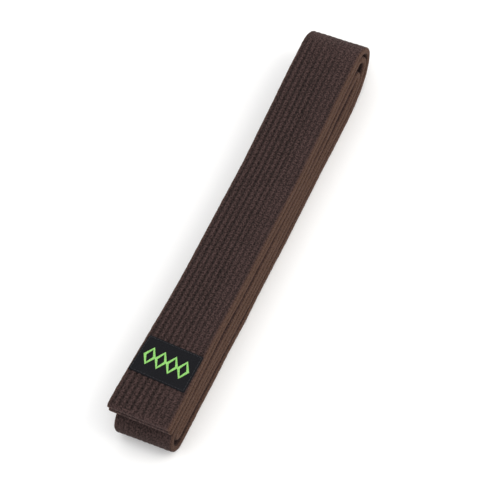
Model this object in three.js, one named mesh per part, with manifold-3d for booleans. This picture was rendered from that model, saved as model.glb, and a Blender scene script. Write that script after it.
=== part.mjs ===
// A quilted cotton martial arts belt, put away folded: one long band laid in six runs on top of each other.
// Millimetres, +Z up. The runs lie along Y, the free tips are at the -Y end, and the stack rests on Z = 0.
// The band is a stitched tube of cotton cloth round three plies of core cloth, closed by rows of lockstitch.
import * as THREE from 'three';
import Module from 'manifold-3d';

const wasm = await Module();
wasm.setup();

// The folded stack
const STACK_LENGTH = 300; // outside the folds, end to end
const LAYER_GAP = 0.6; // air left between two runs
const TIP_SETBACK = 5; // how far both tips stop short of the near folds
const FOLD_STEPS = 6; // facets round each fold

// The band
const BELT_WIDTH = 40;
const BELT_THICKNESS = 4.5;
const EDGE_ROUNDING = 1.5; // how far the long edges are rounded off
const CLOTH_WALL = 0.55; // cover cloth at its thinnest, under a stitch groove
const PLY_COUNT = 3;
const PLY_CLEARANCE = 0.15; // round each core ply, above and below
const PLY_SIDE_CLEARANCE = 0.4;

// The rows of lockstitch
const SEAM_COUNT = 10;
const SEAM_MARGIN = 2.9; // outer rows to the belt's long edges
const SEAM_TIP_MARGIN = 2; // row ends to the tips
const GROOVE_DEPTH = 0.45;
const GROOVE_HALF_WIDTH = 0.9;
const THREAD_HALF_WIDTH = 0.4;
const THREAD_BED = 0.1; // thread to the bottom of its groove
const THREAD_SINK = 0.04; // thread below the crests of the quilting

// The free end with the label, which lifts off the stack about a soft hinge line
const LABEL_END_LENGTH = 110; // tip to hinge line
const HINGE_GAP = 0.3;

// The woven label on top of the free end
const LABEL_LENGTH = 26; // along the belt
const LABEL_SIDE_MARGIN = 1.5; // label to the belt's long edges
const LABEL_TIP_MARGIN = 27; // label to the tip
const LABEL_THICKNESS = 0.5;
const LABEL_CORNER = 0.6;
const SEWN_GAP = 0.05; // between pieces sewn flat on each other
const HEM_INSET = 1.1; // label edge to its sewing thread
const HEM_WIDTH = 0.5;
const HEM_HEIGHT = 0.25;
const LOZENGE_COUNT = 4;
const LOZENGE_LENGTH = 13; // along the belt
const LOZENGE_SIDE_MARGIN = 3.5; // label edge to the outer lozenges
const LOZENGE_BAND = 1.3; // breadth of the woven outline
const LOZENGE_NECK = 1.6; // breadth where two lozenges meet
const MOTIF_HEIGHT = 0.3;

const LAYER_PITCH = BELT_THICKNESS + LAYER_GAP;
const TOP_RUN = 1;
const BOTTOM_RUN = 6;
const INNER_FOLD = LAYER_PITCH / 2; // the folds' radii, to the middle of the band
const MIDDLE_FOLD = LAYER_PITCH * 1.5;
const OUTER_FOLD = LAYER_PITCH * 2.5;
const NEAR_FOLD_Y = -STACK_LENGTH / 2 + MIDDLE_FOLD + BELT_THICKNESS / 2;
const FAR_FOLD_Y = STACK_LENGTH / 2 - OUTER_FOLD - BELT_THICKNESS / 2;
const TIP_Y = -STACK_LENGTH / 2 + TIP_SETBACK;
const HINGE_Y = TIP_Y + LABEL_END_LENGTH;
const FACE = BELT_THICKNESS / 2; // middle of the band to the crests of its quilting
const TOP_FACE_Z = runHeight(TOP_RUN) + FACE;

const CLOTH = { color: 0x33261f, roughness: 0.95, metalness: 0 };
const CORE_CLOTH = { color: 0x8f8676, roughness: 0.95, metalness: 0 };
const NEEDLE_THREAD = { color: 0x1d1511, roughness: 0.75, metalness: 0 };
const LABEL_WEAVE = { color: 0x101018, roughness: 0.7, metalness: 0 };
const MOTIF_THREAD = { color: 0x8fd45f, roughness: 0.55, metalness: 0 };

// Height of the middle of a run, counted from the top of the stack.
function runHeight(run) {
  return BELT_THICKNESS / 2 + (BOTTOM_RUN - run) * LAYER_PITCH;
}

// The band's middle line, in Y and Z. Both lines take how far they stop short of the tip and of the hinge line.
function labelEndLine(tipInset, hingeInset) {
  const line = new THREE.Path();
  line.moveTo(TIP_Y + tipInset, runHeight(1));
  line.lineTo(HINGE_Y - HINGE_GAP / 2 - hingeInset, runHeight(1));
  return line;
}

function foldedLine(tipInset, hingeInset) {
  const farHeight = (runHeight(1) + runHeight(6)) / 2;
  const nearHeight = (runHeight(3) + runHeight(6)) / 2;
  const up = Math.PI / 2;
  const folds = [
    new THREE.EllipseCurve(FAR_FOLD_Y, farHeight, OUTER_FOLD, OUTER_FOLD, up, -up, true),
    new THREE.EllipseCurve(NEAR_FOLD_Y, nearHeight, MIDDLE_FOLD, MIDDLE_FOLD, -up, -3 * up, true),
    new THREE.EllipseCurve(FAR_FOLD_Y, farHeight, INNER_FOLD, INNER_FOLD, up, -up, true),
    new THREE.EllipseCurve(NEAR_FOLD_Y, nearHeight, INNER_FOLD, INNER_FOLD, up, 3 * up, false),
    new THREE.EllipseCurve(FAR_FOLD_Y, farHeight, MIDDLE_FOLD, MIDDLE_FOLD, -up, up, false),
  ];
  const line = new THREE.Path();
  line.moveTo(HINGE_Y + HINGE_GAP / 2 + hingeInset, runHeight(1));
  for (const fold of folds) {
    line.lineTo(fold.getPoint(0).x, fold.getPoint(0).y);
    line.curves.push(fold);
    line.currentPoint.copy(fold.getPoint(1));
  }
  line.lineTo(TIP_Y + tipInset, runHeight(2));
  return line;
}

// Points along a line, each with the direction out of the band's face there.
function stationsOf(line) {
  const stations = [];
  for (const curve of line.curves) {
    const steps = curve.isLineCurve ? 1 : FOLD_STEPS;
    for (let step = stations.length ? 1 : 0; step <= steps; step += 1) {
      const along = curve.getTangent(step / steps);
      stations.push({ at: curve.getPoint(step / steps), out: new THREE.Vector2(-along.y, along.x) });
    }
  }
  return stations;
}

// A section of the band carried along a line: x of the outline runs across the belt, y out of its face.
function sweep(outline, line) {
  const stations = stationsOf(line);
  const ring = outline.length;
  const lastRing = (stations.length - 1) * ring;
  const positions = stations.flatMap(({ at, out }) =>
    outline.flatMap((point) => [point.x, at.x + out.x * point.y, at.y + out.y * point.y]),
  );
  const faces = [];
  for (const [a, b, c] of THREE.ShapeUtils.triangulateShape(outline, [])) {
    faces.push(a, b, c, lastRing + a, lastRing + c, lastRing + b);
  }
  for (let start = 0; start < lastRing; start += ring) {
    for (let corner = 0; corner < ring; corner += 1) {
      const here = start + corner;
      const beside = start + ((corner + 1) % ring);
      faces.push(here, here + ring, beside, beside, here + ring, beside + ring);
    }
  }
  const geometry = new THREE.BufferGeometry();
  geometry.setAttribute('position', new THREE.Float32BufferAttribute(positions, 3));
  geometry.setIndex(faces);
  return geometry;
}

function toSolid(geometry) {
  const mesh = new wasm.Mesh({
    numProp: 3,
    vertProperties: geometry.getAttribute('position').array,
    triVerts: new Uint32Array(geometry.getIndex().array),
  });
  return new wasm.Manifold(mesh);
}

function toGeometry(solid) {
  const mesh = solid.getMesh();
  const geometry = new THREE.BufferGeometry();
  geometry.setAttribute('position', new THREE.BufferAttribute(mesh.vertProperties, 3));
  geometry.setIndex(new THREE.BufferAttribute(mesh.triVerts, 1));
  return geometry;
}

function seamPositions() {
  const first = -BELT_WIDTH / 2 + SEAM_MARGIN;
  const pitch = (BELT_WIDTH - 2 * SEAM_MARGIN) / (SEAM_COUNT - 1);
  return Array.from({ length: SEAM_COUNT }, (_, seam) => first + seam * pitch);
}

// Outline of the cover: soft long edges, and a groove for each row of stitches on both faces.
function coverOutline() {
  const half = BELT_WIDTH / 2;
  const face = [
    new THREE.Vector2(half, FACE - EDGE_ROUNDING),
    new THREE.Vector2(half - EDGE_ROUNDING * 0.3, FACE - EDGE_ROUNDING * 0.3),
    new THREE.Vector2(half - EDGE_ROUNDING, FACE),
  ];
  for (const seam of seamPositions().reverse()) {
    face.push(new THREE.Vector2(seam + GROOVE_HALF_WIDTH, FACE));
    face.push(new THREE.Vector2(seam, FACE - GROOVE_DEPTH));
    face.push(new THREE.Vector2(seam - GROOVE_HALF_WIDTH, FACE));
  }
  face.push(new THREE.Vector2(EDGE_ROUNDING - half, FACE));
  face.push(new THREE.Vector2(EDGE_ROUNDING * 0.3 - half, FACE - EDGE_ROUNDING * 0.3));
  face.push(new THREE.Vector2(-half, FACE - EDGE_ROUNDING));
  const back = face.map((point) => new THREE.Vector2(-point.x, -point.y));
  return [...face, ...back];
}

function rectangle(halfWidth, low, high) {
  return [
    new THREE.Vector2(halfWidth, low),
    new THREE.Vector2(halfWidth, high),
    new THREE.Vector2(-halfWidth, high),
    new THREE.Vector2(-halfWidth, low),
  ];
}

// Room inside the cover, which all the plies of the core share.
const POCKET_HALF_HEIGHT = FACE - GROOVE_DEPTH - CLOTH_WALL;
const POCKET_HALF_WIDTH = BELT_WIDTH / 2 - EDGE_ROUNDING;

function makeCover(lineOf) {
  const outside = toSolid(sweep(coverOutline(), lineOf(0, 0)));
  const pocket = rectangle(POCKET_HALF_WIDTH, -POCKET_HALF_HEIGHT, POCKET_HALF_HEIGHT);
  return toGeometry(outside.subtract(toSolid(sweep(pocket, lineOf(CLOTH_WALL, -HINGE_GAP)))));
}

function makePly(ply, lineOf) {
  const room = 2 * POCKET_HALF_HEIGHT - (PLY_COUNT + 1) * PLY_CLEARANCE;
  const thickness = room / PLY_COUNT;
  const low = -POCKET_HALF_HEIGHT + PLY_CLEARANCE + ply * (thickness + PLY_CLEARANCE);
  const section = rectangle(POCKET_HALF_WIDTH - PLY_SIDE_CLEARANCE, low, low + thickness);
  return sweep(section, lineOf(CLOTH_WALL + PLY_SIDE_CLEARANCE, 0));
}

// One row of stitches, laid in its groove: side is 1 on the face of the belt and -1 on its back.
function makeSeam(across, side, lineOf) {
  const crown = FACE - THREAD_SINK;
  const root = FACE - GROOVE_DEPTH + THREAD_BED;
  const section = [
    new THREE.Vector2(across + side * THREAD_HALF_WIDTH, side * crown),
    new THREE.Vector2(across - side * THREAD_HALF_WIDTH, side * crown),
    new THREE.Vector2(across, side * root),
  ];
  return sweep(section, lineOf(SEAM_TIP_MARGIN, 0));
}

const LABEL_HALF_WIDTH = BELT_WIDTH / 2 - LABEL_SIDE_MARGIN;
const LABEL_MIDDLE_Y = TIP_Y + LABEL_TIP_MARGIN + LABEL_LENGTH / 2;
const LABEL_FOOT_Z = TOP_FACE_Z + SEWN_GAP;
const LABEL_TOP_Z = LABEL_FOOT_Z + LABEL_THICKNESS;

// A rectangle with round corners, drawn round the label's middle and inset from its edges.
function labelShape(inset) {
  const x = LABEL_HALF_WIDTH - inset;
  const y = LABEL_LENGTH / 2 - inset;
  const r = LABEL_CORNER;
  const shape = new THREE.Shape();
  shape.absarc(x - r, y - r, r, 0, Math.PI / 2);
  shape.absarc(r - x, y - r, r, Math.PI / 2, Math.PI);
  shape.absarc(r - x, r - y, r, Math.PI, Math.PI * 1.5);
  shape.absarc(x - r, r - y, r, Math.PI * 1.5, Math.PI * 2);
  return shape;
}

function makeLabelLayer(shape, foot, height) {
  const geometry = new THREE.ExtrudeGeometry(shape, { depth: height, bevelEnabled: false, curveSegments: 3 });
  geometry.translate(0, LABEL_MIDDLE_Y, foot);
  return geometry;
}

function makeHem() {
  const shape = labelShape(HEM_INSET);
  shape.holes.push(labelShape(HEM_INSET + HEM_WIDTH));
  return makeLabelLayer(shape, LABEL_TOP_Z + SEWN_GAP, HEM_HEIGHT);
}

// A plain border pattern: open lozenges side by side across the label, joined by short necks.
function makeMotif() {
  const reach = LABEL_HALF_WIDTH - LOZENGE_SIDE_MARGIN;
  const lozengeWidth = (2 * reach) / LOZENGE_COUNT;
  const tall = LOZENGE_LENGTH / 2;
  const neck = LOZENGE_NECK / 2;
  const shape = new THREE.Shape();
  shape.moveTo(-reach, -neck);
  for (let lozenge = 0; lozenge < LOZENGE_COUNT; lozenge += 1) {
    const left = -reach + lozenge * lozengeWidth;
    shape.lineTo(left + lozengeWidth / 2, -tall);
    shape.lineTo(left + lozengeWidth, -neck);
  }
  for (let lozenge = LOZENGE_COUNT - 1; lozenge >= 0; lozenge -= 1) {
    const left = -reach + lozenge * lozengeWidth;
    shape.lineTo(left + lozengeWidth, neck);
    shape.lineTo(left + lozengeWidth / 2, tall);
  }
  shape.lineTo(-reach, neck);
  for (let lozenge = 0; lozenge < LOZENGE_COUNT; lozenge += 1) {
    const middle = -reach + (lozenge + 0.5) * lozengeWidth;
    const hole = new THREE.Path();
    hole.moveTo(middle - lozengeWidth / 2 + LOZENGE_BAND, 0);
    hole.lineTo(middle, tall - LOZENGE_BAND * 2);
    hole.lineTo(middle + lozengeWidth / 2 - LOZENGE_BAND, 0);
    hole.lineTo(middle, LOZENGE_BAND * 2 - tall);
    hole.closePath();
    shape.holes.push(hole);
  }
  return makeLabelLayer(shape, LABEL_TOP_Z + SEWN_GAP, MOTIF_HEIGHT);
}

function addPiece(group, name, geometry, finish) {
  const mesh = new THREE.Mesh(geometry, new THREE.MeshStandardMaterial(finish));
  mesh.name = name;
  group.add(mesh);
}

// One stretch of the band, with everything sewn into it.
function makeBand(prefix, lineOf) {
  const band = new THREE.Group();
  addPiece(band, `${prefix}cover`, makeCover(lineOf), CLOTH);
  for (let ply = 0; ply < PLY_COUNT; ply += 1) {
    addPiece(band, `${prefix}core_ply_${ply + 1}`, makePly(ply, lineOf), CORE_CLOTH);
  }
  seamPositions().forEach((across, seam) => {
    const number = String(seam + 1).padStart(2, '0');
    addPiece(band, `${prefix}needle_row_${number}`, makeSeam(across, 1, lineOf), NEEDLE_THREAD);
    addPiece(band, `${prefix}bobbin_row_${number}`, makeSeam(across, -1, lineOf), NEEDLE_THREAD);
  });
  return band;
}

const belt = new THREE.Group();
belt.add(makeBand('', foldedLine));

const labelEnd = makeBand('label_end_', labelEndLine);
addPiece(labelEnd, 'label', makeLabelLayer(labelShape(0), LABEL_FOOT_Z, LABEL_THICKNESS), LABEL_WEAVE);
addPiece(labelEnd, 'label_hem_thread', makeHem(), LABEL_WEAVE);
addPiece(labelEnd, 'label_motif', makeMotif(), MOTIF_THREAD);
belt.add(labelEnd);

export default belt;
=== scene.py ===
import math

import bmesh
import bpy
from mathutils import Matrix, Vector, noise
from mathutils.geometry import interpolate_bezier


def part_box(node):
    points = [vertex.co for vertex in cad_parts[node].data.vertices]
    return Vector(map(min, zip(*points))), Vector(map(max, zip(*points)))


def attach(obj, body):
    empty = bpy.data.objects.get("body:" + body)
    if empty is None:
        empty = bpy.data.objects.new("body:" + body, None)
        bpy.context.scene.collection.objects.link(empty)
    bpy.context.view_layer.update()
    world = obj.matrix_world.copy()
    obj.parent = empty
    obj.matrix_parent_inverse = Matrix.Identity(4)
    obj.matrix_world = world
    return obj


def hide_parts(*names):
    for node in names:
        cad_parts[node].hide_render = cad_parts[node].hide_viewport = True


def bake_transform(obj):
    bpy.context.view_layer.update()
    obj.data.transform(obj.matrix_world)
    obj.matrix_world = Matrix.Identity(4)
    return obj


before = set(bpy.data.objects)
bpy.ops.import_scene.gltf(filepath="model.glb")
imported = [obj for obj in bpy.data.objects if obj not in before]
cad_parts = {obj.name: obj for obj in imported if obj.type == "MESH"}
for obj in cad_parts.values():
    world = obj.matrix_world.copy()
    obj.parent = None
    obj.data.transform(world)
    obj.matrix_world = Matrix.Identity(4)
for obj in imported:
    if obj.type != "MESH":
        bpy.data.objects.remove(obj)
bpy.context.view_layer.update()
mm = 0.001
print("packed frame loaded")

# Everything is worked out in millimetres and scaled to metres when a piece is finished.
coverLow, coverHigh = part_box("cover")
endLow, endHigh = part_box("label_end_cover")
labelLow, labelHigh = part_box("label")
rowCount = len([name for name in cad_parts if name.startswith("needle_row_")])
rowBoxes = [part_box(f"needle_row_{row:02d}") for row in range(1, rowCount + 1)]

belt = {
    "width": (coverHigh.x - coverLow.x) / mm,
    "thickness": (endHigh.z - endLow.z) / mm,
    "edgeRound": 1.6,
    "seams": [(low.x + high.x) / 2 / mm for low, high in rowBoxes],
    "rowPull": (0.86, 1.0, 0.9, 0.98, 0.86, 0.94, 0.8, 0.66, 0.56, 0.62),  # how tight each row is
    "stitchPeriod": 3.5,
    "stagger": (0.0, 0.45, 0.12, 0.7, 0.3, 0.85, 0.5, 0.05, 0.62, 0.25),  # shares of a stitch
    "rowStop": 1.5,  # the rows end this far from the tips
    "grooveDepth": 0.52,
    # painted shade: grooveShade and holeShade darken the colour in the channels and stitch holes
    "grooveShade": 0.42,
    "holeDepth": 0.42,
    "holeShade": 0.66,
    "holeLength": 1.05,
    "holeWidth": 0.62,
    "holeLean": 0.55,
    "paintedFoldShade": 0.24,  # painted shade: the near fold's face is darker
    "creaseReach": 20,
    "pucker": 0.13,
    "swell": 0.1,
    "tipRound": 2.2,
    "edgeSway": 0.28,
    "edgeRipple": 0.12,
}
belt["pitch"] = belt["seams"][1] - belt["seams"][0]


# The way the belt is folded
stack = {
    "far": coverHigh.y / mm - belt["thickness"] / 2,  # middle line's furthest point
    "near": coverLow.y / mm + belt["thickness"] / 2,
    "tip": endLow.y / mm,
    "tipDrift": -1.8,  # the two ends lie a little to one side of the folds
    "farDrift": -0.7,
    "nearDrift": 0.4,
    "floorRun": belt["thickness"] / 2,
    "flare": 0.1,  # the ends are pressed flatter, so they are wider
    "flareLength": 85,
    "skew": 0.034,  # both ends are cut a little off square
    "spineStep": 0.25,
    "farStretch": 22,  # how far round the outer folds the quilting is pulled flat
    "nearStretch": 20,
    "stretchFlat": 0.7,
}


def foldKnots():
    far, near, tip = stack["far"], stack["near"], stack["tip"]
    tipX, farX, nearX = stack["tipDrift"], stack["farDrift"], stack["nearDrift"]
    low = stack["floorRun"]
    # side, along, height, heading, handle before, handle after
    return [
        (tipX, tip, 28.3, 0, 0, 12),
        (tipX * 0.6, -107, 28.4, -0.6, 14, 26),
        (-0.1, -30, 27.0, -1, 26, 24),
        (0.1, 41, 26.15, 0, 24, 24),
        (farX, far - 13.8, 29.8, 0, 34, 7.2),
        (farX + 0.4, far - 0.8, 20.25, -90, 5.25, 5.95),
        (0.8, 102.4, low, -180, 31.5, 30),
        (1.0, 0, low, -180, 40, 40),
        (nearX, near + 7.9, low, -180, 40, 4.6),
        (nearX, near - 0.4, 10.55, -270, 4.6, 4.6),
        (nearX, near + 7.9, 18.9, -360, 4.6, 14),
        (0.5, -107, 19.05, -360, 14, 26),
        (1.1, -30, 17.6, -361, 26, 24),
        (0.5, 41, 16.35, -360, 24, 24),
        (0.3, far - 22.45, 20.55, -360, 20, 3.45),
        (0.3, far - 17.6, 17.75, -450, 1.8, 2.35),
        (0.3, far - 24.0, 13.95, -525.5, 3.85, 8.15),
        (0.5, 95, 11.75, -540, 9, 18),
        (0.5, 41, 11.55, -540, 18, 24),
        (1.1, -30, 12.9, -541, 24, 26),
        (0.5, -107, 14.4, -540, 26, 14),
        (nearX, near + 8.7, 14.4, -540, 10, 1.27),
        (nearX, near + 6.4, 12.1, -450, 1.27, 1.27),
        (nearX, near + 8.7, 9.8, -360, 1.27, 10),
        (0.5, -107, 9.8, -360, 14, 26),
        (1.1, -30, 8.2, -361, 26, 24),
        (0.5, 41, 6.9, -360, 24, 24),
        (0.6, 95, 7.05, -360, 18, 9),
        (0.3, far - 24.2, 9.1, -346.6, 9, 8.3),
        (0.1, far - 7.6, 20.35, -270, 5.5, 2.8),
        (farX, far - 13.25, 25.25, -180, 2.8, 34),
        (0.1, 41, 21.05, -180, 24, 24),
        (-0.1, -30, 22.3, -181, 24, 26),
        (tipX * 0.6, -107, 23.75, -180.6, 26, 14),
        (tipX, tip, 23.6, -180, 12, 0),
    ]


def followFolds(knots):
    points, marks = [], [0.0]
    for start, end in zip(knots, knots[1:]):
        leave, arrive = math.radians(start[3]), math.radians(end[3])
        startPoint, endPoint = Vector(start[:3]), Vector(end[:3])
        startHandle = startPoint + Vector((0, math.cos(leave), math.sin(leave))) * start[5]
        endHandle = endPoint - Vector((0, math.cos(arrive), math.sin(arrive))) * end[4]
        part = interpolate_bezier(startPoint, startHandle, endHandle, endPoint, 120)
        marks.append(marks[-1] + sum((b - a).length for a, b in zip(part, part[1:])))
        points += part if not points else part[1:]
    return points, marks


def evenSpine(points, step):
    spine, carried, goal = [], 0.0, 0.0
    for a, b in zip(points, points[1:]):
        reach = (b - a).length
        while goal <= carried + reach and reach > 0:
            spine.append(a.lerp(b, (goal - carried) / reach))
            goal += step
        carried += reach
    spine.append(points[-1].copy())
    sides = []
    for index in range(len(spine)):
        ahead = spine[min(index + 2, len(spine) - 1)] - spine[max(index - 2, 0)]
        sides.append(Vector((0, -ahead.z, ahead.y)).normalized())
    return spine, sides


pathPoints, pathMarks = followFolds(foldKnots())
spinePoints, spineSides = evenSpine(pathPoints, stack["spineStep"])
beltLength = pathMarks[-1]
print(f"fold path: {beltLength:.0f} mm of belt")


def endShare(along):
    inward = min(along, beltLength - along)
    share = min(max(1 - inward / stack["flareLength"], 0), 1)
    return share * share * (3 - 2 * share)


def beltPoint(across, along, height):
    place = min(max(along / stack["spineStep"], 0), len(spinePoints) - 1.001)
    index = int(place)
    share = place - index
    centre = spinePoints[index].lerp(spinePoints[index + 1], share)
    side = spineSides[index].lerp(spineSides[index + 1], share)
    end = endShare(along)
    spread = across * (1 + stack["flare"] * end)
    return centre + side * height + Vector((spread, -stack["skew"] * across * end, 0))


# Quilting
def seamGap(across):
    row = min(range(rowCount), key=lambda index: abs(across - belt["seams"][index]))
    return row, across - belt["seams"][row]


def bell(distance, reach):
    return math.exp(-((distance / reach) ** 2))


def foldStretch(along):
    # the channels are pulled flat where the belt is stretched round its outer folds
    farStretch = bell(along - pathMarks[5], stack["farStretch"])
    nearStretch = bell(along - pathMarks[9], stack["nearStretch"])
    return stack["stretchFlat"] * max(farStretch, nearStretch)


def swayAt(along):
    # both long edges wander together
    return belt["edgeSway"] * noise.noise(Vector((0.3, along * 0.035, 7.7)))


def quilting(across, along):
    row, gap = seamGap(across)
    period = belt["stitchPeriod"]
    inward = min(along, beltLength - along)
    reach = min(abs(gap) / (belt["pitch"] / 2), 1)
    fade = min(max(inward / belt["rowStop"] - 1, 0), 1)
    fade *= belt["rowPull"][row % len(belt["rowPull"])] * (1 - foldStretch(along))
    channel = (0.5 + 0.5 * math.cos(math.pi * reach)) ** 1.3 * fade
    turn = (along / period + belt["stagger"][row % len(belt["stagger"])]) % 1.0
    pastHole = (turn if turn < 0.5 else turn - 1) * period
    slant = pastHole + belt["holeLean"] * gap
    hole = bell(slant, belt["holeLength"]) * bell(gap, belt["holeWidth"]) * fade
    return channel, hole


def bandSection(offsets):
    half = belt["width"] / 2
    thick = belt["thickness"] / 2
    bend = belt["edgeRound"]
    flat = half - bend
    steps = {-flat, flat}
    for seam in belt["seams"]:
        for offset in offsets:
            if abs(seam + offset) < flat - 0.25:
                steps.add(round(seam + offset, 3))
    steps = sorted(steps)
    section = [{"across": x, "height": thick, "out": (0, 1), "rim": 0.0} for x in steps]
    for corner, start in ((1, 90), (1, 0), (-1, -90), (-1, -180)):
        for turn in (0, 30, 60, 90):
            angle = math.radians(start - turn)
            upper = start in (90, -180)
            centre = (corner * flat, (thick - bend) * (1 if upper else -1))
            out = (math.cos(angle), math.sin(angle))
            if start in (90, -90) and turn == 0:
                if start == -90:
                    section += [
                        {"across": x, "height": -thick, "out": (0, -1), "rim": 0.0}
                        for x in reversed(steps)
                    ]
                continue
            section.append({
                "across": centre[0] + bend * out[0],
                "height": centre[1] + bend * out[1],
                "out": out,
                "rim": abs(out[0]),
            })
    around = 0.0
    for index, spot in enumerate(section):
        if index:
            before = section[index - 1]
            around += math.hypot(spot["across"] - before["across"], spot["height"] - before["height"])
        spot["around"] = around
    return section


def tipPinch(along):
    inward = min(along, beltLength - along) / belt["tipRound"]
    return 1.0 if inward >= 1 else 0.55 + 0.45 * math.sin(math.pi / 2 * max(inward, 0))


def shapeBand(bm, section, start, end, layers):
    paintedShade, rim, beltMap = layers
    columns = len(section) - 1
    for face in bm.faces:
        for loop in face.loops:
            spot = section[round((loop.vert.co.x + 0.5) * columns)]
            loop[beltMap].uv = (spot["around"], start + (loop.vert.co.y + 0.5) * (end - start))
    for vert in bm.verts:
        spot = section[round((vert.co.x + 0.5) * columns)]
        along = start + (vert.co.y + 0.5) * (end - start)
        across, height, out = spot["across"], spot["height"], spot["out"]
        channel, hole = quilting(across, along)
        # painted shade on the near fold
        foldShade = bell(along - pathMarks[9], belt["creaseReach"])
        face = abs(out[1]) ** 3
        grain = noise.noise(Vector((across * 0.55, along * 0.45, height * 3)))
        swell = noise.noise(Vector((across * 0.09, along * 0.05, height * 2)))
        sink = (belt["grooveDepth"] * channel + belt["holeDepth"] * hole) * face
        sink += belt["pucker"] * grain - belt["swell"] * swell
        ripple = noise.noise(Vector((1.3, along * 0.3, 3 * (across > 0))))
        sway = swayAt(along) + belt["edgeRipple"] * ripple * spot["rim"]
        pinch = tipPinch(along)
        height = (height - out[1] * sink) * pinch
        across = (across - out[0] * sink) * (0.96 + 0.04 * pinch) + sway
        # painted shade: the channels, stitch holes and near fold darken the colour through this mask
        shade = (belt["grooveShade"] * channel + belt["holeShade"] * hole) * face
        vert[paintedShade] = min(shade + belt["paintedFoldShade"] * foldShade, 1)
        vert[rim] = spot["rim"]
        vert.co = beltPoint(across, along, height)


def finishPiece(name, bm, material, turnOut=True):
    if turnOut:
        bmesh.ops.recalc_face_normals(bm, faces=bm.faces)
    bmesh.ops.transform(bm, matrix=Matrix.Scale(mm, 4), verts=bm.verts)
    mesh = bpy.data.meshes.new(name)
    bm.to_mesh(mesh)
    bm.free()
    mesh.polygons.foreach_set("use_smooth", [True] * len(mesh.polygons))
    mesh.materials.append(material)
    piece = bpy.data.objects.new(name, mesh)
    bpy.context.collection.objects.link(piece)
    return piece


def clothBand(name, start, end, step, offsets, material):
    section = bandSection(offsets)
    rings = round((end - start) / step)
    bm = bmesh.new()
    beltMap = bm.loops.layers.uv.new("beltMap")
    # mask of painted shade for the channels, stitch holes and near fold
    paintedShade = bm.verts.layers.float.new("paintedShade")
    rim = bm.verts.layers.float.new("rim")
    bmesh.ops.create_grid(bm, x_segments=len(section) - 1, y_segments=rings, size=0.5)
    shapeBand(bm, section, start, end, (paintedShade, rim, beltMap))
    bmesh.ops.remove_doubles(bm, verts=bm.verts, dist=0.0005)
    openEdges = [edge for edge in bm.edges if edge.is_boundary]
    caps = bmesh.ops.holes_fill(bm, edges=openEdges, sides=0)["faces"]
    for edge in openEdges:
        edge.smooth = False
    for cap in caps:
        for loop in cap.loops:
            loop[beltMap].uv = (loop.vert.co.x, start)
    return finishPiece(name, bm, material)


# Stitches
stitch = {
    "length": 3.2,
    "radius": 0.3,
    "slant": 9,  # degrees off the row
    "proud": 0.05,  # middle of the thread above the groove's floor
    "dive": 0.55,
    "hiddenRadius": 0.24,
    "hiddenProud": 0.02,
    "hiddenStep": 2.0,
    "tipRoom": 3,
}
layFlat = Matrix.Rotation(math.radians(90), 3, "X")  # turns a shape's length along the belt


def oneStitch(bm):
    made = bmesh.ops.create_uvsphere(bm, u_segments=6, v_segments=6, radius=1, calc_uvs=True)
    verts = made["verts"]
    bmesh.ops.rotate(bm, verts=verts, cent=(0, 0, 0), matrix=layFlat)
    for vert in verts:
        share = vert.co.y
        plump = (1 - abs(share) ** 4) / max(math.sqrt(max(1 - share * share, 0)), 0.3)
        vert.co.x *= stitch["radius"] * plump
        vert.co.z = vert.co.z * stitch["radius"] * plump - stitch["dive"] * abs(share) ** 3
        vert.co.y = share * stitch["length"] / 2
    turn = Matrix.Rotation(math.radians(stitch["slant"]), 3, "Z")
    bmesh.ops.rotate(bm, verts=verts, cent=(0, 0, 0), matrix=turn)
    return bm.verts[:] + bm.edges[:] + bm.faces[:]


def stitchRows(name, start, end, side, material):
    period = belt["stitchPeriod"]
    count = int((end - start) / period)
    bm = bmesh.new()
    bm.loops.layers.uv.new("threadMap")
    first = oneStitch(bm)
    for index in range(1, count):
        copy = bmesh.ops.duplicate(bm, geom=first)["geom"]
        moved = [item for item in copy if isinstance(item, bmesh.types.BMVert)]
        bmesh.ops.translate(bm, verts=moved, vec=(0, index * period, 0))
    wholeRow = bm.verts[:] + bm.edges[:] + bm.faces[:]
    lift = belt["thickness"] / 2 - belt["grooveDepth"] + stitch["proud"]
    firstHole = [(math.ceil(start / period + belt["stagger"][row]) - belt["stagger"][row]) * period
                 for row in range(rowCount)]
    for row in range(1, rowCount):
        copy = bmesh.ops.duplicate(bm, geom=wholeRow)["geom"]
        moved = [item for item in copy if isinstance(item, bmesh.types.BMVert)]
        place = (belt["seams"][row], firstHole[row] + period / 2, 0)
        bmesh.ops.translate(bm, verts=moved, vec=place)
    moved = [item for item in wholeRow if isinstance(item, bmesh.types.BMVert)]
    bmesh.ops.translate(bm, verts=moved, vec=(belt["seams"][0], firstHole[0] + period / 2, 0))
    for vert in bm.verts:
        across, along, height = vert.co
        vert.co = beltPoint(across + swayAt(along), along, side * (lift + height))
    if side < 0:
        bmesh.ops.reverse_faces(bm, faces=bm.faces)
    return finishPiece(name, bm, material, turnOut=False)


def divideLengthwise(bm, cuts):
    lengthwise = [edge for edge in bm.edges if abs(edge.verts[0].co.y - edge.verts[1].co.y) > 0.5]
    bmesh.ops.subdivide_edges(bm, edges=lengthwise, cuts=cuts, use_grid_fill=True)


def threadStrands(name, start, end, side, material):
    bm = bmesh.new()
    bm.loops.layers.uv.new("threadMap")
    lift = side * (belt["thickness"] / 2 - belt["grooveDepth"] + stitch["hiddenProud"])
    radius = stitch["hiddenRadius"]
    for seam in belt["seams"]:
        made = bmesh.ops.create_cone(
            bm, cap_ends=True, segments=4, radius1=radius, radius2=radius, depth=1, calc_uvs=True)
        verts = made["verts"]
        bmesh.ops.rotate(bm, verts=verts, cent=(0, 0, 0), matrix=layFlat)
        bmesh.ops.translate(bm, verts=verts, vec=(seam, 0.5, 0))
    divideLengthwise(bm, int((end - start) / stitch["hiddenStep"]))
    for vert in bm.verts:
        across, share, height = vert.co
        along = start + share * (end - start)
        vert.co = beltPoint(across, along, lift + height)
    return finishPiece(name, bm, material)


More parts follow.
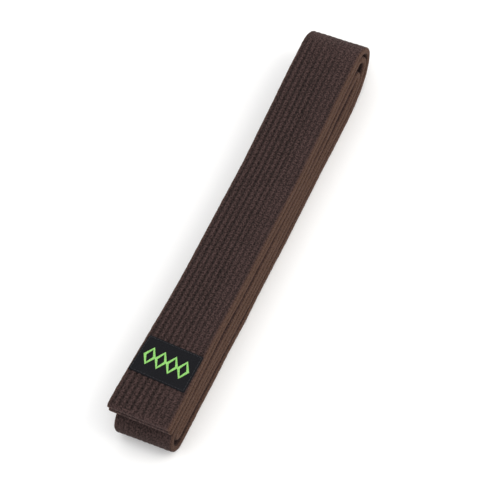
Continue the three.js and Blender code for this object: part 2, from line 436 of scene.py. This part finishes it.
# Core plies
core = {
    "plies": 3,
    "sideRoom": 1.0,
    "gap": 0.16,
    "skin": 1.3,
    "step": 3.0,
    "tipRoom": 3,
}


def corePly(name, start, end, ply, material):
    room = belt["thickness"] - 2 * core["skin"]
    each = (room - core["gap"] * (core["plies"] - 1)) / core["plies"]
    bottom = -room / 2 + ply * (each + core["gap"])
    width = belt["width"] - 2 * core["sideRoom"]
    bm = bmesh.new()
    bm.loops.layers.uv.new("plyMap")
    bmesh.ops.create_cube(bm, size=1, calc_uvs=True)
    divideLengthwise(bm, int((end - start) / core["step"]))
    for vert in bm.verts:
        across, share, height = vert.co
        along = start + (share + 0.5) * (end - start)
        vert.co = beltPoint(across * width, along, bottom + (height + 0.5) * each)
    return finishPiece(name, bm, material)


# Shader node groups
def newGroup(name, inputs, outputs):
    group = bpy.data.node_groups.new(name, "ShaderNodeTree")
    for title, kind, value in inputs:
        socket = group.interface.new_socket(name=title, in_out="INPUT", socket_type=kind)
        if value is not None:
            socket.default_value = value
    for title, kind in outputs:
        group.interface.new_socket(name=title, in_out="OUTPUT", socket_type=kind)
    entry = group.nodes.new("NodeGroupInput")
    leave = group.nodes.new("NodeGroupOutput")
    return group, entry, leave


def mathNode(tree, operation, first, second=None):
    node = tree.nodes.new("ShaderNodeMath")
    node.operation = operation
    for index, value in enumerate((first, second)):
        if isinstance(value, bpy.types.NodeSocket):
            tree.links.new(value, node.inputs[index])
        elif value is not None:
            node.inputs[index].default_value = value
    return node.outputs[0]


def mixNode(tree, share, first, second, blendType="MIX"):
    node = tree.nodes.new("ShaderNodeMix")
    node.data_type = "RGBA"
    node.blend_type = blendType
    for index, value in ((0, share), (6, first), (7, second)):
        if isinstance(value, bpy.types.NodeSocket):
            tree.links.new(value, node.inputs[index])
        else:
            node.inputs[index].default_value = value
    return node.outputs[2]


def noiseNode(tree, vector, scale, detail=3.0, roughness=0.55):
    node = tree.nodes.new("ShaderNodeTexNoise")
    node.inputs["Scale"].default_value = scale
    node.inputs["Detail"].default_value = detail
    node.inputs["Roughness"].default_value = roughness
    tree.links.new(vector, node.inputs["Vector"])
    return node.outputs["Fac"]


def plainWeaveGroup():
    # over and under threads on a map in millimetres
    group, entry, leave = newGroup(
        "plainWeave",
        [("Map", "NodeSocketVector", None), ("Pitch", "NodeSocketFloat", 0.6)],
        [("Height", "NodeSocketFloat"), ("Thread", "NodeSocketFloat")],
    )
    split = group.nodes.new("ShaderNodeSeparateXYZ")
    group.links.new(entry.outputs["Map"], split.inputs[0])
    turns = mathNode(group, "DIVIDE", math.pi, entry.outputs["Pitch"])
    warp = mathNode(group, "SINE", mathNode(group, "MULTIPLY", split.outputs["X"], turns))
    weft = mathNode(group, "SINE", mathNode(group, "MULTIPLY", split.outputs["Y"], turns))
    over = mathNode(group, "MULTIPLY", warp, weft)
    raised = mathNode(group, "ADD", mathNode(group, "MULTIPLY", over, 0.5), 0.5)
    warpSize = mathNode(group, "ABSOLUTE", warp)
    weftSize = mathNode(group, "ABSOLUTE", weft)
    edge = mathNode(group, "MAXIMUM", warpSize, weftSize)
    group.links.new(mathNode(group, "MULTIPLY", raised, edge), leave.inputs["Height"])
    group.links.new(raised, leave.inputs["Thread"])
    return group


def fibreMottleGroup():
    # cloudy dye, short fibre flecks and fine speckle
    group, entry, leave = newGroup(
        "fibreMottle",
        [
            ("Map", "NodeSocketVector", None),
            ("Deep", "NodeSocketColor", (0.02, 0.02, 0.02, 1)),
            ("Pale", "NodeSocketColor", (0.06, 0.06, 0.06, 1)),
            ("Fleck", "NodeSocketFloat", 0.9),
            ("Cloud", "NodeSocketFloat", 0.06),
        ],
        [("Color", "NodeSocketColor"), ("Fuzz", "NodeSocketFloat")],
    )
    scaled = []
    for title, detail in (("Fleck", 4.0), ("Cloud", 2.0)):
        tex = group.nodes.new("ShaderNodeTexNoise")
        tex.inputs["Detail"].default_value = detail
        group.links.new(entry.outputs["Map"], tex.inputs["Vector"])
        group.links.new(entry.outputs[title], tex.inputs["Scale"])
        scaled.append(tex.outputs["Fac"])
    fleck, cloud = scaled
    sharp = group.nodes.new("ShaderNodeMapRange")
    sharp.inputs["From Min"].default_value = 0.4
    sharp.inputs["From Max"].default_value = 0.6
    group.links.new(fleck, sharp.inputs["Value"])
    blend = mathNode(group, "ADD", mathNode(group, "MULTIPLY", sharp.outputs["Result"], 0.7),
                     mathNode(group, "MULTIPLY", cloud, 0.3))
    tone = mixNode(group, blend, entry.outputs["Deep"], entry.outputs["Pale"])
    group.links.new(tone, leave.inputs["Color"])
    group.links.new(sharp.outputs["Result"], leave.inputs["Fuzz"])
    return group


def threadTwistGroup():
    # slanting strands round a thread whose map runs along it
    group, entry, leave = newGroup(
        "threadTwist",
        [("Map", "NodeSocketVector", None), ("Turns", "NodeSocketFloat", 6.0)],
        [("Height", "NodeSocketFloat")],
    )
    split = group.nodes.new("ShaderNodeSeparateXYZ")
    group.links.new(entry.outputs["Map"], split.inputs[0])
    lengthwise = mathNode(group, "MULTIPLY", split.outputs["Y"], entry.outputs["Turns"])
    slanted = mathNode(group, "ADD", lengthwise, mathNode(group, "MULTIPLY", split.outputs["X"], 2.0))
    wave = mathNode(group, "SINE", mathNode(group, "MULTIPLY", slanted, 2 * math.pi))
    group.links.new(mathNode(group, "ABSOLUTE", wave), leave.inputs["Height"])
    return group


weaveGroup = plainWeaveGroup()
mottleGroup = fibreMottleGroup()
twistGroup = threadTwistGroup()


# Materials
def newMaterial(name, sheen, sheenTint, specular):
    material = bpy.data.materials.new(name)
    material.use_nodes = True
    tree = material.node_tree
    shader = tree.nodes["Principled BSDF"]
    shader.inputs["Sheen Weight"].default_value = sheen
    shader.inputs["Sheen Roughness"].default_value = 0.6
    shader.inputs["Sheen Tint"].default_value = sheenTint
    shader.inputs["Specular IOR Level"].default_value = specular
    return material, tree, shader


def placeGroup(tree, group, vector, **values):
    node = tree.nodes.new("ShaderNodeGroup")
    node.node_tree = group
    tree.links.new(vector, node.inputs["Map"])
    for title, value in values.items():
        node.inputs[title].default_value = value
    return node


def mapNode(tree, name):
    node = tree.nodes.new("ShaderNodeUVMap")
    node.uv_map = name
    return node.outputs[0]


def roughnessFrom(tree, shader, mask, change, base):
    rough = mathNode(tree, "ADD", mathNode(tree, "MULTIPLY", mask, change), base)
    tree.links.new(rough, shader.inputs["Roughness"])


def bumpNode(tree, shader, height, strength, distance):
    bump = tree.nodes.new("ShaderNodeBump")
    bump.inputs["Strength"].default_value = strength
    bump.inputs["Distance"].default_value = distance
    tree.links.new(height, bump.inputs["Height"])
    tree.links.new(bump.outputs["Normal"], shader.inputs["Normal"])


def attributeNode(tree, name):
    node = tree.nodes.new("ShaderNodeAttribute")
    node.attribute_name = name
    return node.outputs["Fac"]


cloth = {
    "deep": (0.0042, 0.0024, 0.0023, 1),
    "pale": (0.096, 0.0565, 0.053, 1),
    # painted shade colour, mixed into the channels, stitch holes, near fold and weave
    "groove": (0.0035, 0.0022, 0.0021, 1),
    # worn edges and painted highlight: the folded edges are lighter and warmer
    "rim": (0.108, 0.055, 0.032, 1),
    "wornAndLitShare": 0.75,
    "weavePitch": 0.62,
    "weaveShade": 0.35,
    "cordPitch": 1.12,  # fine cords along the folded edge
    "cordHeight": 2.0,
    "fuzzHeight": 0.8,
    "fleck": 1.0,
    "cloud": 0.07,
}


def clothMaterial():
    material, tree, shader = newMaterial("beltCotton", 0.08, (0.5, 0.34, 0.3, 1), 0.12)
    flatMap = mapNode(tree, "beltMap")
    weave = placeGroup(tree, weaveGroup, flatMap, Pitch=cloth["weavePitch"])
    mottle = placeGroup(tree, mottleGroup, flatMap, Deep=cloth["deep"], Pale=cloth["pale"],
                        Fleck=cloth["fleck"], Cloud=cloth["cloud"])
    fuzz = mottle.outputs["Fuzz"]
    # the painted shade mask
    paintedShade = attributeNode(tree, "paintedShade")
    rim = attributeNode(tree, "rim")
    split = tree.nodes.new("ShaderNodeSeparateXYZ")
    tree.links.new(flatMap, split.inputs[0])
    turns = mathNode(tree, "MULTIPLY", split.outputs["X"], 2 * math.pi / cloth["cordPitch"])
    cords = mathNode(tree, "MULTIPLY", mathNode(tree, "SINE", turns), 0.5)
    cords = mathNode(tree, "ADD", cords, 0.5)
    # worn edges and painted highlight along the band's rims
    wornAndLit = mathNode(tree, "MULTIPLY", cords, mathNode(tree, "ADD", fuzz, 0.5))
    wornAndLit = mathNode(tree, "MULTIPLY", rim, mathNode(tree, "ADD", wornAndLit, 0.35))
    wornAndLit = mathNode(tree, "MULTIPLY", wornAndLit, cloth["wornAndLitShare"])
    tone = mixNode(tree, wornAndLit, mottle.outputs["Color"], cloth["rim"])
    # painted shade in the channels, stitch holes and near fold
    tone = mixNode(tree, paintedShade, tone, cloth["groove"])
    # painted shade between the threads of the weave
    between = mathNode(tree, "MULTIPLY", weave.outputs["Thread"], cloth["weaveShade"])
    tone = mixNode(tree, between, tone, cloth["groove"])
    tree.links.new(tone, shader.inputs["Base Color"])
    roughnessFrom(tree, shader, fuzz, -0.12, 0.94)
    height = mathNode(tree, "ADD", weave.outputs["Height"],
                      mathNode(tree, "MULTIPLY", fuzz, cloth["fuzzHeight"]))
    ridges = mathNode(tree, "MULTIPLY", mathNode(tree, "MULTIPLY", rim, cords), cloth["cordHeight"])
    bumpNode(tree, shader, mathNode(tree, "ADD", height, ridges), 0.6, 0.00022)
    return material


def threadMaterial(name, deep, pale, sheen, strength=0.5):
    material, tree, shader = newMaterial(name, sheen, pale, 0.25)
    flatMap = mapNode(tree, "threadMap")
    coords = tree.nodes.new("ShaderNodeTexCoord")
    twist = placeGroup(tree, twistGroup, flatMap, Turns=5.0)
    mottle = placeGroup(tree, mottleGroup, coords.outputs["Object"], Deep=deep, Pale=pale,
                        Fleck=900.0, Cloud=60.0)
    # painted shade: the thread is darker between its twisted strands
    tone = mixNode(tree, mathNode(tree, "MULTIPLY", twist.outputs["Height"], 0.6), deep,
                   mottle.outputs["Color"])
    tree.links.new(tone, shader.inputs["Base Color"])
    roughnessFrom(tree, shader, twist.outputs["Height"], -0.15, 0.85)
    bumpNode(tree, shader, twist.outputs["Height"], strength, 0.0001)
    return material


def plyMaterial():
    material, tree, shader = newMaterial("coreCotton", 0.05, (0.6, 0.55, 0.5, 1), 0.15)
    coords = tree.nodes.new("ShaderNodeTexCoord")
    inMillimetres = tree.nodes.new("ShaderNodeMapping")
    inMillimetres.inputs["Scale"].default_value = (1000, 1000, 1000)
    tree.links.new(coords.outputs["Object"], inMillimetres.inputs["Vector"])
    weave = placeGroup(tree, weaveGroup, inMillimetres.outputs[0], Pitch=0.9)
    mottle = placeGroup(tree, mottleGroup, inMillimetres.outputs[0], Deep=(0.22, 0.19, 0.15, 1),
                        Pale=(0.42, 0.37, 0.3, 1), Fleck=0.6, Cloud=0.05)
    tree.links.new(mottle.outputs["Color"], shader.inputs["Base Color"])
    roughnessFrom(tree, shader, mottle.outputs["Fuzz"], -0.1, 0.95)
    bumpNode(tree, shader, weave.outputs["Height"], 0.5, 0.0002)
    return material


beltCotton = clothMaterial()
seamThread = threadMaterial("seamThread", (0.012, 0.0072, 0.006, 1), (0.05, 0.03, 0.026, 1), 0.1)
coreCotton = plyMaterial()
print("belt materials ready")


# Belt pieces
fineOffsets = (-1.2, -0.62, 0.0, 0.62, 1.2, 1.9)
coarseOffsets = (0.0, 1.9)
bands = {
    "topRun": (0.0, pathMarks[4] - 6, 0.875, fineOffsets),
    "outerWrap": (pathMarks[4] - 6, pathMarks[10] + 6, 0.875, fineOffsets),
    "innerRuns": (pathMarks[10] + 6, pathMarks[27], 1.4, coarseOffsets),
    "secondEndRun": (pathMarks[27], beltLength, 1.0, fineOffsets),
}

needleNodes = [f"needle_row_{row:02d}" for row in range(1, rowCount + 1)]
bobbinNodes = [f"bobbin_row_{row:02d}" for row in range(1, rowCount + 1)]
plyNodes = [f"core_ply_{ply}" for ply in range(1, core["plies"] + 1)]


def onBelt(piece, isTop, nodes):
    endNodes = [f"label_end_{node}" for node in nodes]
    if isTop:
        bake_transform(piece)
        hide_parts(*nodes, *endNodes)
    else:
        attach(piece, "folded_belt")
        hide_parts(*nodes)


for name, (start, end, step, offsets) in bands.items():
    piece = clothBand(name, start, end, step, offsets, beltCotton)
    onBelt(piece, name == "topRun", ["cover"])

stitchPlan = (
    ("topRunNeedle", "topRun", 1, needleNodes, True),
    ("topRunBobbin", "topRun", -1, bobbinNodes, True),
    ("outerWrapNeedle", "outerWrap", 1, needleNodes, True),
    ("outerWrapBobbin", "outerWrap", -1, bobbinNodes, False),
    ("innerRunsNeedle", "innerRuns", 1, needleNodes, False),
    ("innerRunsBobbin", "innerRuns", -1, bobbinNodes, False),
    ("secondEndNeedle", "secondEndRun", 1, needleNodes, False),
    ("secondEndBobbin", "secondEndRun", -1, bobbinNodes, True),
)
threadPieces = {name: [] for name in bands}
for name, band, side, nodes, seen in stitchPlan:
    start, end = bands[band][:2]
    start = max(start, stitch["tipRoom"])
    end = min(end, beltLength - stitch["tipRoom"])
    if seen:
        piece = stitchRows(name, start, end, side, seamThread)
    else:
        piece = threadStrands(name, start, end, side, seamThread)
    onBelt(piece, band == "topRun", nodes)
    threadPieces[band].append(piece)
print("rows stitched")

for ply in range(core["plies"]):
    split = bands["topRun"][1]
    upper = corePly(f"topRunPly{ply + 1}", core["tipRoom"], split, ply, coreCotton)
    lower = corePly(f"foldedPly{ply + 1}", split, beltLength - core["tipRoom"], ply, coreCotton)
    onBelt(upper, True, [plyNodes[ply]])
    onBelt(lower, False, [plyNodes[ply]])
print("core plies laid in")


# Label
label = {
    "width": (labelHigh.x - labelLow.x) / mm,
    "length": (labelHigh.y - labelLow.y) / mm,
    "thickness": (labelHigh.z - labelLow.z) / mm,
    "corner": 0.8,
    "hemInset": 0.95,
    "hemStitch": 2.1,
    "lozenges": 4,
    "lozengeLength": 13.0,
    "sideMargin": 3.5,
    "bar": 1.9,
    "turn": 0.05,  # sewn on a little askew
    "slip": 0.8,
    "lift": 0.06,
    "hemDip": 0.16,
    "hemReach": 1.4,
    "borderBevel": 0.18,
    "hemRadius": 0.21,
    "hemHeight": 0.17,
    "barHeight": 0.34,
    "barBevel": 0.3,
    "barBed": 0.05,
}
labelStart = labelLow.y / mm - stack["tip"]  # belt length from the tip to the label's near edge
surface = belt["thickness"] / 2


def onLabel(across, along, height):
    # the patch bridges the channels and dips a little between its stitches
    edge = min(label["width"] / 2 - abs(across), along, label["length"] - along)
    held = math.exp(-max(edge, 0) / label["hemReach"])
    dip = 0.05 * noise.noise(Vector((across * 0.2, along * 0.25, 1.0))) - label["hemDip"] * held
    turned = across + label["turn"] * (along - label["length"] / 2)
    reach = labelStart + along - label["slip"] - label["turn"] * across
    rise = surface + label["lift"] + dip + height
    return beltPoint(turned + swayAt(labelStart + along), reach, rise)


def labelPatch(material):
    bm = bmesh.new()
    patchMap = bm.loops.layers.uv.new("labelMap")
    columns, rows = 74, 56
    bmesh.ops.create_grid(bm, x_segments=columns, y_segments=rows, size=0.5)
    for vert in bm.verts:
        across = vert.co.x * label["width"]
        along = (vert.co.y + 0.5) * label["length"]
        overX = max(abs(across) - (label["width"] / 2 - label["corner"]), 0)
        overY = max(abs(along - label["length"] / 2) - (label["length"] / 2 - label["corner"]), 0)
        reach = math.hypot(overX, overY)
        if reach > label["corner"]:
            pull = 1 - label["corner"] / reach
            across -= math.copysign(overX * pull, across)
            along -= math.copysign(overY * pull, along - label["length"] / 2)
        vert.co = (across, along, 0)
    for face in bm.faces:
        for loop in face.loops:
            loop[patchMap].uv = (loop.vert.co.x, loop.vert.co.y)
    bmesh.ops.solidify(bm, geom=bm.faces[:], thickness=-label["thickness"])
    bmesh.ops.recalc_face_normals(bm, faces=bm.faces)
    border = [edge for edge in bm.edges if len(edge.link_faces) == 2
              and edge.calc_face_angle(0) > math.radians(60) and edge.verts[0].co.z > 0.01]
    bmesh.ops.bevel(bm, geom=border, offset=label["borderBevel"], offset_type="OFFSET",
                    segments=2, profile=0.5, affect="EDGES", material=-1)
    for vert in bm.verts:
        vert.co = onLabel(vert.co.x, vert.co.y, vert.co.z)
    return finishPiece("wovenLabel", bm, material)


def labelMaterial():
    material, tree, shader = newMaterial("labelSatin", 0.02, (0.3, 0.3, 0.4, 1), 0.12)
    flatMap = mapNode(tree, "labelMap")
    weave = placeGroup(tree, weaveGroup, flatMap, Pitch=0.34)
    mottle = placeGroup(tree, mottleGroup, flatMap, Deep=(0.002, 0.0022, 0.0032, 1),
                        Pale=(0.0095, 0.0098, 0.013, 1), Fleck=1.6, Cloud=0.09)
    tone = mixNode(tree, mathNode(tree, "MULTIPLY", weave.outputs["Thread"], 0.5),
                   mottle.outputs["Color"], (0.003, 0.003, 0.004, 1))
    tree.links.new(tone, shader.inputs["Base Color"])
    roughnessFrom(tree, shader, weave.outputs["Thread"], 0.2, 0.6)
    bumpNode(tree, shader, weave.outputs["Height"], 0.5, 0.00012)
    return material


def hemStitches(material):
    bm = bmesh.new()
    bm.loops.layers.uv.new("threadMap")
    halfWidth = label["width"] / 2 - label["hemInset"]
    near, far = label["hemInset"], label["length"] - label["hemInset"]
    corners = [(-halfWidth, near), (halfWidth, near), (halfWidth, far), (-halfWidth, far)]
    for start, end in zip(corners, corners[1:] + corners[:1]):
        run = math.dist(start, end)
        count = round(run / label["hemStitch"])
        angle = math.atan2(end[1] - start[1], end[0] - start[0]) - math.pi / 2
        alongHem = Matrix.Rotation(angle, 3, "Z")
        stitchSize = (label["hemRadius"], run / count * 0.44, label["hemHeight"])
        for index in range(count):
            made = bmesh.ops.create_uvsphere(
                bm, u_segments=6, v_segments=5, radius=1, calc_uvs=True)
            verts = made["verts"]
            bmesh.ops.rotate(bm, verts=verts, cent=(0, 0, 0), matrix=layFlat)
            bmesh.ops.scale(bm, verts=verts, vec=stitchSize)
            bmesh.ops.rotate(bm, verts=verts, cent=(0, 0, 0), matrix=alongHem)
            middle = Vector(start).lerp(Vector(end), (index + 0.5) / count)
            place = (middle.x, middle.y, label["thickness"] + label["lift"])
            bmesh.ops.translate(bm, verts=verts, vec=place)
    for vert in bm.verts:
        vert.co = onLabel(vert.co.x, vert.co.y, vert.co.z)
    return finishPiece("labelHemThread", bm, material, turnOut=False)


def motif(material):
    # a chain of open lozenges in raised satin stitch, made as four-sided rings with a rounded top
    bm = bmesh.new()
    threadMap = bm.loops.layers.uv.new("threadMap")
    span = label["width"] - 2 * label["sideMargin"]
    pitch = span / label["lozenges"]
    middleY = label["length"] / 2
    for index in range(label["lozenges"]):
        ring = bmesh.ops.create_circle(bm, cap_ends=True, segments=4, radius=1)
        verts = ring["verts"]
        centreX = -span / 2 + pitch * (index + 0.5)
        bmesh.ops.scale(bm, verts=verts, vec=(pitch / 2 + 0.35, label["lozengeLength"] / 2, 1))
        place = (centreX, middleY, label["thickness"] - label["barBed"])
        bmesh.ops.translate(bm, verts=verts, vec=place)
    outlines = bm.faces[:]
    bmesh.ops.inset_individual(bm, faces=outlines, thickness=label["bar"], depth=0)
    bmesh.ops.delete(bm, geom=outlines, context="FACES_ONLY")
    bars = bm.faces[:]
    raised = bmesh.ops.extrude_face_region(bm, geom=bars)["geom"]
    upper = [item for item in raised if isinstance(item, bmesh.types.BMVert)]
    bmesh.ops.translate(bm, verts=upper, vec=(0, 0, label["barHeight"]))
    bmesh.ops.recalc_face_normals(bm, faces=bm.faces)
    rims = [edge for edge in bm.edges if edge.verts[0].co.z > label["thickness"]
            and edge.verts[1].co.z > label["thickness"] and edge.calc_face_angle(0) > 1.0]
    bmesh.ops.bevel(bm, geom=rims, offset=label["barBevel"], offset_type="OFFSET",
                    segments=3, profile=0.5, affect="EDGES", material=-1)
    longEdges = [edge for edge in bm.edges if edge.calc_length() > 1.2]
    bmesh.ops.subdivide_edges(bm, edges=longEdges, cuts=7, use_grid_fill=True)
    for face in bm.faces:
        for loop in face.loops:
            loop[threadMap].uv = (loop.vert.co.x, loop.vert.co.y)
    for vert in bm.verts:
        vert.co = onLabel(vert.co.x, vert.co.y, vert.co.z)
    return finishPiece("labelMotif", bm, material)


def motifMaterial():
    material, tree, shader = newMaterial("motifThread", 0.2, (0.6, 0.9, 0.5, 1), 0.35)
    flatMap = mapNode(tree, "threadMap")
    split = tree.nodes.new("ShaderNodeSeparateXYZ")
    tree.links.new(flatMap, split.inputs[0])
    wave = mathNode(tree, "SINE", mathNode(tree, "MULTIPLY", split.outputs["Y"], 2 * math.pi / 0.3))
    strand = mathNode(tree, "ABSOLUTE", wave)
    mottle = placeGroup(tree, mottleGroup, flatMap, Deep=(0.16, 0.46, 0.075, 1),
                        Pale=(0.42, 0.8, 0.24, 1), Fleck=1.2, Cloud=0.1)
    # painted shade: the satin strands are lighter on their crowns and darker between
    paintedStrandLight = mathNode(tree, "ADD", mathNode(tree, "MULTIPLY", strand, 0.6), 0.3)
    tone = mixNode(tree, paintedStrandLight, (0.12, 0.4, 0.06, 1), mottle.outputs["Color"])
    tree.links.new(tone, shader.inputs["Base Color"])
    roughnessFrom(tree, shader, strand, -0.15, 0.6)
    bumpNode(tree, shader, strand, 0.5, 0.0001)
    return material


labelSatin = labelMaterial()
hemThread = threadMaterial("hemThread", (0.014, 0.015, 0.018, 1), (0.055, 0.057, 0.066, 1), 0.12)
patch = labelPatch(labelSatin)
hem = hemStitches(hemThread)
chain = motif(motifMaterial())
for piece, slotName, node in (
    (patch, "label_weave", "label"),
    (hem, "label_hem_thread", "label_hem_thread"),
    (chain, "motif_thread", "label_motif"),
):
    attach(piece, "label_end")
    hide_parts(node)
print("label sewn on")


# Floor, light and camera
studio = {
    "floorColor": (0.95, 0.95, 0.95, 1),
    "worldColor": (1.0, 1.0, 1.0, 1),
    "worldStrength": 1.12,
    "keyPower": 8.0,
    "fillPower": 0.8,
}
camera = {
    "azimuth": 40.62,
    "elevation": 59.26,
    "roll": -17.58,
    "distance": 1.96399,
    "lens": 224.65,
    "sensor": 36,
    "target": (0, 0.020, 0.014),
    "slideRight": -0.00606,
    "slideUp": -0.02538,
}


def floorMaterial():
    material = bpy.data.materials.new("studioFloor")
    material.use_nodes = True
    tree = material.node_tree
    shader = tree.nodes["Principled BSDF"]
    coords = tree.nodes.new("ShaderNodeTexCoord")
    grain = noiseNode(tree, coords.outputs["Object"], 60.0)
    tone = mixNode(tree, grain, studio["floorColor"], (0.97, 0.97, 0.968, 1))
    tree.links.new(tone, shader.inputs["Base Color"])
    shader.inputs["Roughness"].default_value = 0.9
    shader.inputs["Specular IOR Level"].default_value = 0.1
    return material


def layFloor():
    bm = bmesh.new()
    bmesh.ops.create_grid(bm, x_segments=1, y_segments=1, size=6)
    bmesh.ops.translate(bm, verts=bm.verts, vec=(0, 0, -0.0003))
    mesh = bpy.data.meshes.new("floor")
    bm.to_mesh(mesh)
    bm.free()
    mesh.materials.append(floorMaterial())
    floor = bpy.data.objects.new("floor", mesh)
    bpy.context.collection.objects.link(floor)


def softLight(name, place, size, power, color):
    data = bpy.data.lights.new(name, "AREA")
    data.shape = "SQUARE"
    data.size = size
    data.energy = power
    data.color = color
    lamp = bpy.data.objects.new(name, data)
    lamp.location = place
    lamp.rotation_euler = (Vector((0, 0, 0.01)) - Vector(place)).to_track_quat("-Z", "Y").to_euler()
    bpy.context.collection.objects.link(lamp)


def setCamera():
    turn, rise, roll = (math.radians(camera[key]) for key in ("azimuth", "elevation", "roll"))
    back = Vector((math.sin(turn), -math.cos(turn), math.tan(rise))).normalized()
    level = Vector((math.cos(turn), math.sin(turn), 0))
    upward = back.cross(level)
    right = level * math.cos(roll) + upward * math.sin(roll)
    up = upward * math.cos(roll) - level * math.sin(roll)
    place = Vector(camera["target"]) + back * camera["distance"]
    place += right * camera["slideRight"] + up * camera["slideUp"]
    data = bpy.data.cameras.new("studioCamera")
    data.lens = camera["lens"]
    data.sensor_width = camera["sensor"]
    data.clip_start = 0.1
    data.clip_end = 20
    eye = bpy.data.objects.new("studioCamera", data)
    eye.matrix_world = Matrix((
        (right.x, up.x, back.x, place.x),
        (right.y, up.y, back.y, place.y),
        (right.z, up.z, back.z, place.z),
        (0, 0, 0, 1),
    ))
    bpy.context.collection.objects.link(eye)
    bpy.context.scene.camera = eye


layFloor()
softLight("keyLight", (1.1, 0.35, 1.0), 0.9, studio["keyPower"], (1.0, 0.96, 0.9))
softLight("fillLight", (-0.6, -1.2, 1.1), 1.2, studio["fillPower"], (0.95, 0.97, 1.0))
world = bpy.data.worlds.new("studioWorld")
world.use_nodes = True
world.node_tree.nodes["Background"].inputs["Color"].default_value = studio["worldColor"]
world.node_tree.nodes["Background"].inputs["Strength"].default_value = studio["worldStrength"]
bpy.context.scene.world = world
bpy.context.scene.view_settings.view_transform = "Standard"
setCamera()
print("floor, light and camera set")
